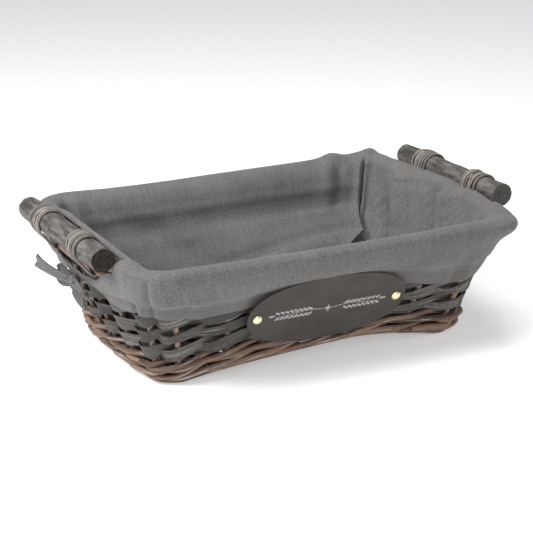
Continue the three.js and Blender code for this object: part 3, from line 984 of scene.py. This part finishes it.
def makeLiner():
    columns, steps = linerLook["columns"], linerLook["steps"]
    points, faces, uvs, tones = [], [], [], []
    grid, far, down = [], [], []
    along = 0.0
    last = None
    for c in range(columns + 1):
        walk = 4 * c / columns
        keys = [Vector((a, b, 0)) for a, b in linerColumn(walk % 4)]
        curve = rounded(keys, steps)
        rows = len(curve)
        place = wallPlace(walk, 0.1)[0]
        if last is not None:
            along += (place - last).length
        last = place
        column, depth, total = [], [], 0.0
        for r, key in enumerate(curve):
            base, out = wallPlace(walk, key.y)
            ripple = 0.0008 * wander(*base, 0.035, 11) + 0.0003 * wander(*base, 0.009, 12)
            spot = base + out * (key.x + ripple)
            if r:
                total += (spot - column[-1]).length
            column.append(spot)
            depth.append(total)
        if c < columns:
            points.extend(column)
        grid.append(column)
        far.append(along)
        down.append(depth)
    ridgeRow = (len(insideHeights) + 1) * steps
    bandRow = (len(insideHeights) + len(linerLook["ridge"])) * steps
    for c in range(columns):
        walk = 4 * (c + 0.5) / columns
        side = math.floor(walk)
        isSlit = side % 2 == 1 and abs(2 * (walk - side) - 1) < linerLook["slitShare"]
        for r in range(rows - 1):
            if isSlit and ridgeRow <= r < bandRow:
                continue
            a, b = c * rows + r, ((c + 1) % columns) * rows + r
            faces.append((a, b, b + 1, a + 1))
            uvs.append(((far[c], down[c][r]), (far[c + 1], down[c + 1][r]),
                        (far[c + 1], down[c + 1][r + 1]), (far[c], down[c][r + 1])))
            # the cuff's rows from its crease down to the hem get a tone that paints shade on them
            tones.append(clamp((r - rows + 11) / 3) if r > rows - 12 else 0.0)
    # floor: rings that shrink to the middle
    rings = linerLook["floorRings"]
    middle = Vector((0, middleY, linerFloorHeight(0, middleY)))
    starts = []
    for k in range(1, rings):
        starts.append(len(points))
        inner = 1 - (k / rings) ** 1.7  # closer together beside the seam
        for c in range(columns):
            edge = grid[c][0]
            spot = middle.lerp(edge, inner)
            rise = edge.z + 0.003 - linerFloorHeight(edge.x, edge.y)
            puff = 0.004 * smooth(rise, 0.004, 0.012) * bump(inner, 0.88, 0.09)
            spot.z = linerFloorHeight(spot.x, spot.y) + rise * inner ** 4 + puff
            spot.z -= 0.003 * bump(inner, 1.0, 0.008)
            points.append(spot)
    hub = len(points)
    points.append(middle)
    outer = [c * rows for c in range(columns)]
    for start in starts:
        inner = [start + c for c in range(columns)]
        for c in range(columns):
            d = (c + 1) % columns
            corners = (inner[c], inner[d], outer[d], outer[c])
            faces.append(corners)
            uvs.append(tuple((points[i].x, points[i].y) for i in corners))
            tones.append(0.0)
        outer = inner
    for c in range(columns):
        corners = (hub, outer[(c + 1) % columns], outer[c])
        faces.append(corners)
        uvs.append(tuple((points[i].x, points[i].y) for i in corners))
        tones.append(0.0)
    piece = makePiece("linenLiner", points, faces, uvs, "linen", ["liner"], tones)
    solid = piece.modifiers.new("thickness", "SOLIDIFY")
    solid.thickness = linerLook["thick"]
    solid.offset = 0
    return piece, grid, ridgeRow, bandRow


def linerFloorHeight(x, y):
    return 0.0378 + 0.0012 * wander(x, y, 0, 0.07, 15) + 0.0005 * wander(x, y, 0, 0.02, 16)


linerPiece, linerGrid, ridgeRow, bandRow = makeLiner()


def makeSlitHems():
    # the turned-in edges of the two handle slits
    hems = []
    columns, reach = linerLook["columns"], linerLook["slitShare"]
    for side, name in ((1, "right"), (3, "left")):
        first = round((side + (1 - reach) / 2) * columns / 4)
        final = round((side + (1 + reach) / 2) * columns / 4)
        upper = [linerGrid[c][ridgeRow] for c in range(first, final + 1, 2)]
        lower = [linerGrid[c][bandRow] for c in range(first, final + 1, 2)]
        made = Bundle()
        for edge, radius in ((upper, 0.0013), (lower, 0.0011)):
            section = roundSection(radius, 8, side, rough=0.18)
            made.sweep(edge, [Vector((0, 0, 1))] * len(edge), section, 0.2)
        hems.append(made.make(f"slitHem_{name}", "linen"))
    return hems


slitHems = makeSlitHems()
flatArea = sum(p.area for p in linerPiece.data.polygons)
print("liner made, cloth area", round(flatArea, 4), "m2")


# log handles

logLook = {
    "sides": 44,
    "rings": 70,
    "skin": 0.0002,
    "swell": 0.0005,
    "knot": 0.0008,
    "capRings": 9,
    "capRidge": 0.00022,
    "chamfer": 0.0003,
}


def makeLog(name, seed):
    low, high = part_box(f"log_handle_{name}")
    middle = (low + high) / 2
    radius = (high.x - low.x) / 2 - logLook["skin"]
    sides, rings = logLook["sides"], logLook["rings"]
    points, faces, uvs, marks = [], [], [], []

    def rimAt(k, y):
        # which way this corner faces, and how far out the bark is there
        angle = 2 * math.pi * k / sides
        x, z = math.cos(angle), math.sin(angle)
        swell = logLook["swell"] * wander(x * 0.8, z * 0.8, y * 22, 1.0, seed)
        knot = logLook["knot"] * wander(x * 1.8, z * 1.8, y * 45, 1.0, seed + 5)
        return x, z, radius + logLook["skin"] + swell + knot

    for r in range(rings + 1):
        y = mix(low.y, high.y, r / rings)
        edge = min(y - low.y, high.y - y)
        for k in range(sides):
            x, z, here = rimAt(k, y)
            here -= logLook["chamfer"] * (1 - smooth(edge, 0.0, 0.003))
            points.append(Vector((middle.x + here * x, y, middle.z + here * z)))
    step = 2 * math.pi * radius / sides
    for r in range(rings):
        for k in range(sides):
            j = (k + 1) % sides
            faces.append((r * sides + k, (r + 1) * sides + k, (r + 1) * sides + j, r * sides + j))
            y0, y1 = mix(low.y, high.y, r / rings), mix(low.y, high.y, (r + 1) / rings)
            uvs.append(((y0, k * step), (y1, k * step), (y1, (k + 1) * step), (y0, (k + 1) * step)))
            marks.append(0)
    for end, y, sign in ((0, low.y, 1), (rings, high.y, -1)):
        outer = [end * sides + k for k in range(sides)]
        outerShare = 1.0
        for ring in range(1, logLook["capRings"] + 1):
            share = 1 - ring / (logLook["capRings"] + 0.4)
            inner = []
            for k in range(sides):
                x, z, here = rimAt(k, y)
                spot = Vector((middle.x + here * share * x, 0, middle.z + here * share * z))
                ridge = logLook["capRidge"] * math.sin(share * 26 + seed)
                saw = 0.0005 * wander(spot.x, spot.z, 0, 0.004, seed + 9)
                saw += 0.0004 * wander(spot.x, 0, spot.z, 0.0015)
                spot.y = y + sign * (0.0004 + saw + ridge)
                inner.append(len(points))
                points.append(spot)
            for k in range(sides):
                j = (k + 1) % sides
                corners = (outer[k], outer[j], inner[j], inner[k])
                faces.append(corners if sign > 0 else corners[::-1])
                a, b = radius * outerShare, radius * share
                pairs = ((a, k * step), (a, (k + 1) * step), (b, (k + 1) * step), (b, k * step))
                uvs.append(pairs if sign > 0 else pairs[::-1])
                marks.append(1)
            outer, outerShare = inner, share
        faces.append(tuple(outer if sign > 0 else outer[::-1]))
        uvs.append(tuple((0.0003, k * step) for k in range(sides)))
        marks.append(1)
    piece = makePiece(f"logHandle_{name}", points, faces, uvs, "log", [f"log_handle_{name}"])
    piece.data.materials.append(looks[f"endGrain_{name}"])
    piece.data.polygons.foreach_set("material_index", marks)
    return middle, radius


lashLook = {
    "turns": 6,
    "pitch": 0.0045,
    "width": 0.0031,
    "thick": 0.0014,
    "samples": 44,
    "lift": 0.9,  # from the log to the turns, in thicknesses
    "crossLift": 2.0,
    "crossWidth": 0.62,
    "crossThick": 0.8,
    "rodLevel": 0.1165,
    "footRadius": 0.0056,
    "gather": 0.42,  # the strands draw together under the rim rods
    "crisp": math.radians(28),
}


def loopPath(centre, radius, foot, footRadius, count):
    # once round the log and the rim rods below it: (point in x and z, outward) pairs
    loop = []
    last = None
    for i in range(count):
        angle = 2 * math.pi * i / count
        out = Vector((math.cos(angle), 0, math.sin(angle)))
        logReach, footReach = centre.dot(out) + radius, foot.dot(out) + footRadius
        onLog = logReach >= footReach
        spot = centre + out * radius if onLog else foot + out * footRadius
        if last is not None and last[0] != onLog:
            for part in (0.2, 0.4, 0.6, 0.8):
                loop.append((last[1].lerp(spot, part), out))
        loop.append((spot, out))
        last = (onLog, spot)
    return loop


def makeLashing(name, side, centre, radius, seed):
    low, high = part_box(name)
    y = (low.y + high.y) / 2
    walk = side + 0.5
    # settle on the walk where the wall has this y
    for _ in range(30):
        here = wallPlace(walk, 0.116)[0]
        walk += (y - here.y) * (4 if side == 1 else -4)
    rods = wallPoint(walk, lashLook["rodLevel"], rimRods["outer_lower"][1])
    foot = Vector((rods.x - math.copysign(0.001, rods.x), 0, rods.z - 0.003))
    centre = Vector((centre.x, 0, centre.z))
    draw = random.Random(seed)
    made = Bundle()
    turns, pitch, thick = lashLook["turns"], lashLook["pitch"], lashLook["thick"]
    samples, footRadius = lashLook["samples"], lashLook["footRadius"]

    def fanAt(spot):
        return mix(lashLook["gather"], 1.0, smooth(spot.z, foot.z - 0.004, centre.z))

    loop = loopPath(centre, radius + thick * lashLook["lift"], foot, footRadius, samples)
    path = []
    for turn in range(turns):
        shift = draw.uniform(-0.0011, 0.0011)
        lift = draw.uniform(0.0, 0.0010)
        for i, (spot, out) in enumerate(loop):
            along = (turn + i / len(loop) - turns / 2) * pitch + shift
            path.append(spot + out * lift + Vector((0, y + along * fanAt(spot), 0)))
    section = stripSection(lashLook["width"], thick, seed, 0.4, 0.004)
    size = len(loop)
    for turn in range(turns):
        part = path[turn * size:(turn + 1) * size + 2]
        made.sweep(part, [Vector((0, 1, 0))] * len(part), section, draw.uniform(0.15, 0.95), turn * 0.1)
    made.make(f"lashing_wrap_{name[8:]}", "peel", [name], lashLook["crisp"])
    # one strand is taken back across the others
    cross = Bundle()
    loop = loopPath(centre, radius + thick * lashLook["crossLift"], foot, footRadius + 0.0008, samples)
    tilt = 0.010 if seed % 2 else -0.009
    path = []
    for i, (spot, out) in enumerate(loop):
        swing = math.cos(2 * math.pi * i / len(loop) + seed)
        path.append(spot + Vector((0, y + (tilt * swing) * fanAt(spot) - 0.001, 0)))
    path.append(path[0] + Vector((0, 0.001, 0)))
    width = lashLook["width"] * lashLook["crossWidth"]
    section = stripSection(width, thick * lashLook["crossThick"], seed + 3, 0.4)
    cross.sweep(path, [Vector((0, 1, 0))] * len(path), section, 0.6)
    cross.make(f"lashing_cross_{name[8:]}", "peel")


for seed, (name, side) in enumerate((("left", 3), ("right", 1))):
    logMiddle, logRadius = makeLog(name, 20 + seed * 7)
    for end, place in enumerate(("front", "back")):
        makeLashing(f"lashing_{name}_{place}", side, logMiddle, logRadius, 70 + seed * 2 + end)
print("handles and lashings made")


# cloth ties at the handles

tieLook = {
    "width": 0.012,
    "loopWidth": 0.85,  # the loops are narrower than the tail
    "thick": 0.0012,
    "height": 0.0885,
    "stand": 0.0135,
    "knot": 0.0062,
    "knotTurns": 2.6,
    "knotSteps": 70,
    "knotWidth": 0.008,
    "knotThick": 0.0016,
}
# each ribbon as (back, out, up) millimetres from its knot
tieRibbons = {
    "tail": ((0, 2, 0), (10, 8, 1), (24, 15, 4), (40, 20, 7), (57, 21, 8)),
    "under": ((2, 3, 0), (9, 6, -3), (18, 8, -4), (26, 8, -2), (31, 7, 3), (26, 5, 6), (14, 4, 4),
              (2, 2, 1)),
    "drop": ((-1, 3, -1), (-5, 5, -6), (-10, 4, -12), (-15, 3, -17), (-20, 2, -21)),
    "front": ((-2, 4, 0), (-10, 7, 2), (-20, 6, 0), (-27, 4, -5), (-20, 3, -8), (-8, 3, -4)),
}


def tieSection(wide, number, isTail):
    # gathered at the knot, open at the free end, with a fold along it
    def section(i, share):
        spread = smooth(share, 0.0, 0.35) if isTail else math.sin(math.pi * share) ** 0.5
        half = wide / 2 * mix(0.42, 1.0, spread)
        fold = 0.0026 * (1 - 0.5 * spread)
        outline = [(half * t, fold * math.cos(t * 4.2 + number + i * 0.03) * (1 - 0.3 * abs(t)))
                   for t in (-1, -0.6, -0.2, 0.2, 0.6, 1)]
        rise = tieLook["thick"] / 2
        return [(a, b - rise) for a, b in outline] + [(a, b + rise) for a, b in outline[::-1]]
    return section


def makeTie(name, side):
    origin = wallPoint(side + 0.5, tieLook["height"], tieLook["stand"])
    out = wallPlace(side + 0.5, 0.09)[1]
    back = Vector((0, 1, 0))
    made = Bundle()
    for number, (part, keys) in enumerate(tieRibbons.items()):
        points = [origin + back * (a * mm) + out * (b * mm) + Vector((0, 0, c * mm)) for a, b, c in keys]
        path = rounded(points, 7)
        ups = []
        for i, spot in enumerate(path):
            turn = 0.4 * math.sin(i * 0.13 + number * 1.7)
            ups.append(Vector((0, 0, 1)) * math.cos(turn) + out * math.sin(turn))
        wide = tieLook["width"] * (1.0 if part == "tail" else tieLook["loopWidth"])
        made.sweep(path, ups, tieSection(wide, number, part in ("tail", "drop")), 0.1)
    # the knot: a ribbon wound round itself
    path, ups = [], []
    steps = tieLook["knotSteps"]
    for i in range(steps):
        angle = 2 * math.pi * tieLook["knotTurns"] * i / (steps - 1)
        radius = tieLook["knot"] * (0.78 + 0.16 * math.sin(i * 0.31))
        backwards = radius * 0.8 * math.sin(angle) + 0.0012 * math.sin(i * 0.17)
        outwards = 0.003 + radius * 0.75 * math.cos(angle)
        path.append(origin + back * backwards + out * outwards
                    + Vector((0, 0, 0.004 * math.sin(i * 0.12 - 1))))
        ups.append(Vector((0, 0, 1)) + back * 0.5 * math.sin(i * 0.12))
    made.sweep(path, ups, stripSection(tieLook["knotWidth"], tieLook["knotThick"], 5, 0.6), 0.1)
    piece = made.make(f"clothTie_{name}", "linen", [f"tie_{name}"])
    flat = (tieLook["width"], sum(p.area for p in piece.data.polygons) / 2 / tieLook["width"])
    return piece, flat


ties = {name: makeTie(name, side) for name, side in (("left", 3), ("right", 1))}
print("ties made, flat sizes", [[round(x, 3) for x in flat] for piece, flat in ties.values()])


# plaque and its brass studs

plaqueLook = {
    "halfLength": 0.084,
    "halfHeight": 0.038,
    "fullness": 2.3,
    "thick": 0.0016,
    "edge": 0.0007,
    "steps": 120,
    "studReach": 0.074,
}
plaqueLow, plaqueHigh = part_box("plaque")
plaqueMiddle = (plaqueLow + plaqueHigh) / 2
frontReach = wall["rimHalfDepth"] + wall["bows"][0] - wall["footHalfDepth"]
plaqueLean = math.atan(frontReach / wall["rimHeight"])
plaqueUp = Vector((0, -math.sin(plaqueLean), math.cos(plaqueLean)))
plaqueOut = Vector((1, 0, 0)).cross(plaqueUp).normalized()


def onPlaque(x, up, out):
    return plaqueMiddle + Vector((x, 0, 0)) + plaqueUp * up + plaqueOut * out


def plaqueEdge(angle):
    # a full oval: an ellipse whose shoulders are filled out
    power = 2 / plaqueLook["fullness"]
    x, up = math.cos(angle), math.sin(angle)
    return (math.copysign(plaqueLook["halfLength"] * abs(x) ** power, x),
            math.copysign(plaqueLook["halfHeight"] * abs(up) ** power, up))


def makePlaque():
    steps, half, edge = plaqueLook["steps"], plaqueLook["thick"] / 2, plaqueLook["edge"]
    # (inset from the outline, height of the face) from the back, round the edge, to the front's middle
    rings = [(0.30, -half), (0.0006, -half), (0.0, -half + 0.0004), (0.0, half - edge),
             (edge * 0.3, half - edge * 0.3), (edge, half), (0.0022, half + 0.0001),
             (0.0030, half - 0.0001), (0.30, half + 0.0002), (0.65, half + 0.0003)]
    points, faces = [], []
    for inset, height in rings:
        for k in range(steps):
            angle = 2 * math.pi * k / steps
            x, up = plaqueEdge(angle)
            scale = 1 - inset if inset > 0.1 else 1 - inset / math.hypot(x, up)
            points.append(onPlaque(x * scale, up * scale, height))
    for r in range(len(rings) - 1):
        for k in range(steps):
            j = (k + 1) % steps
            faces.append((r * steps + k, r * steps + j, (r + 1) * steps + j, (r + 1) * steps + k))
    faces.append(tuple((len(rings) - 1) * steps + k for k in range(steps)))
    faces.append(tuple(range(steps))[::-1])
    makePiece("ovalPlaque", points, faces, frontUvs(points, faces), "plaque", ["plaque"])


sprigLook = {
    "reach": 0.052,
    "relief": 0.00018,
    "grains": 8,
    "grain": (0.0074, 0.0024),  # length and width
    "tilt": 0.55,
    "stems": 14,
    "stem": (0.0052, 0.0007),
    "centre": (0.009, 0.0022),
}


def makeSprig():
    # two ears of wheat lying away from a small lozenge
    points, faces = [], []
    level = plaqueLook["thick"] / 2 + 0.0004

    def leaf(x, up, angle, long, wide):
        first = len(points)
        outline = 12
        for k in range(outline):
            turn = 2 * math.pi * k / outline
            a = long / 2 * math.cos(turn)
            b = wide / 2 * math.sin(turn) * (1 - 0.35 * math.cos(turn))
            points.append(onPlaque(x + a * math.cos(angle) - b * math.sin(angle),
                                   up + a * math.sin(angle) + b * math.cos(angle), level))
        points.append(onPlaque(x, up, level + sprigLook["relief"]))
        for k in range(outline):
            faces.append((first + k, first + (k + 1) % outline, first + outline))

    grain, wide = sprigLook["grain"]
    stems = sprigLook["stems"]
    for way in (-1, 1):
        for i in range(stems):
            x = way * mix(0.007, sprigLook["reach"], i / (stems - 1))
            rise = 0.0016 * math.sin(i * 0.35)
            leaf(x, rise, 0.0 if way > 0 else math.pi, *sprigLook["stem"])
        for i in range(sprigLook["grains"]):
            x = mix(0.018, sprigLook["reach"], i / (sprigLook["grains"] - 1))
            size = grain * (1 - 0.04 * i)
            for lift in (-1, 1):
                angle = sprigLook["tilt"] * lift
                if way < 0:
                    angle = math.pi - angle
                leaf(way * (x + 0.0016), 0.0034 * lift, angle, size, wide)
        leaf(way * (sprigLook["reach"] + 0.007), 0.0008, 0.0, grain, wide)
    for angle in (0, math.pi / 2):
        leaf(0, 0, angle, *sprigLook["centre"])
    makePiece("plaqueSprig", points, faces, frontUvs(points, faces), "ink")


studLook = {
    "steps": 28,
    "lift": 0.0003,  # above the plaque's face
    "dents": 0.035,
    # (radius, height) from the dome's top, round the rolled rim and down the shank
    "profile": ((0.0, 0.0026), (0.0012, 0.00256), (0.0024, 0.0023), (0.0034, 0.0018), (0.0041, 0.0011),
                (0.0045, 0.0005), (0.0048, 0.0003), (0.0047, 0.0000), (0.0040, -0.0002),
                (0.0011, -0.0002), (0.0011, -0.0086), (0.0, -0.0090)),
}


def makeStud(name, way):
    steps, profile = studLook["steps"], studLook["profile"]
    points, faces = [], []
    for reach, height in profile:
        for k in range(steps):
            angle = 2 * math.pi * k / steps
            x, up = math.cos(angle), math.sin(angle)
            here = reach * (1 + studLook["dents"] * wander(x, up, height * 300, 0.7, way))
            points.append(onPlaque(way * plaqueLook["studReach"] + here * x, here * up,
                                   plaqueLook["thick"] / 2 + studLook["lift"] + height))
    for r in range(len(profile) - 1):
        for k in range(steps):
            j = (k + 1) % steps
            faces.append((r * steps + k, (r + 1) * steps + k, (r + 1) * steps + j, r * steps + j))
    makePiece(f"studHead_{name}", points, faces, frontUvs(points, faces), "brass", [f"stud_{name}"])


makePlaque()
makeSprig()
makeStud("left", -1)
makeStud("right", 1)
print("plaque and studs made")


# floor, light and camera

lightLook = {
    "world": 0.20,
    "key": (-1.35, -0.05, 1.25, 0.8, 32.0),  # x, y, z, size, watts
    "fill": (-0.30, -1.60, 0.80, 0.9, 10.5),
    "top": (0.10, 0.15, 1.75, 0.8, 16.0),
}
cameraLook = {
    "lens": 121.58,
    "azimuth": -26.52,
    "elevation": 17.98,
    "roll": -0.58,
    "target": (-0.00513, 0.0, 0.06741),
    "distance": 1.80315,
}


def makeFloor():
    mesh = bpy.data.meshes.new("floorSheet")
    reach = 6.0
    corners = [(-reach, -reach, 0), (reach, -reach, 0), (reach, reach, 0), (-reach, reach, 0)]
    mesh.from_pydata(corners, [], [(0, 1, 2, 3)])
    mesh.materials.append(looks["floor"])
    floor = bpy.data.objects.new("floorSheet", mesh)
    scene.collection.objects.link(floor)


def makeLights():
    scene.world = bpy.data.worlds.new("softRoom")
    scene.world.use_nodes = True
    sky = scene.world.node_tree.nodes["Background"].inputs
    sky["Color"].default_value = (1, 1, 1, 1)
    sky["Strength"].default_value = lightLook["world"]
    for name in ("key", "fill", "top"):
        x, y, z, size, watts = lightLook[name]
        lamp = bpy.data.lights.new(name, "AREA")
        lamp.size = size
        lamp.energy = watts
        holder = bpy.data.objects.new(name, lamp)
        holder.location = (x, y, z)
        holder.rotation_mode = "QUATERNION"
        holder.rotation_quaternion = (Vector((0, 0, 0.07)) - holder.location).to_track_quat("-Z", "Y")
        scene.collection.objects.link(holder)


def makeCamera():
    lens = bpy.data.cameras.new("view")
    lens.lens = cameraLook["lens"]
    lens.sensor_width = 36
    lens.clip_start, lens.clip_end = 0.05, 50
    camera = bpy.data.objects.new("view", lens)
    azimuth, elevation = math.radians(cameraLook["azimuth"]), math.radians(cameraLook["elevation"])
    back = Vector((math.sin(azimuth) * math.cos(elevation), -math.cos(azimuth) * math.cos(elevation),
                   math.sin(elevation)))
    target = Vector(cameraLook["target"]) + Vector((0, middleY, 0))
    right = (-back).cross(Vector((0, 0, 1))).normalized()
    up = right.cross(-back)
    roll = math.radians(cameraLook["roll"])
    rolledRight = right * math.cos(roll) + up * math.sin(roll)
    rolledUp = up * math.cos(roll) - right * math.sin(roll)
    turn = Matrix((rolledRight, rolledUp, back)).transposed()
    camera.matrix_world = Matrix.Translation(target + back * cameraLook["distance"]) @ turn.to_4x4()
    scene.collection.objects.link(camera)
    scene.camera = camera


makeFloor()
makeLights()
makeCamera()
scene.view_settings.view_transform = "Standard"
print("stage made")
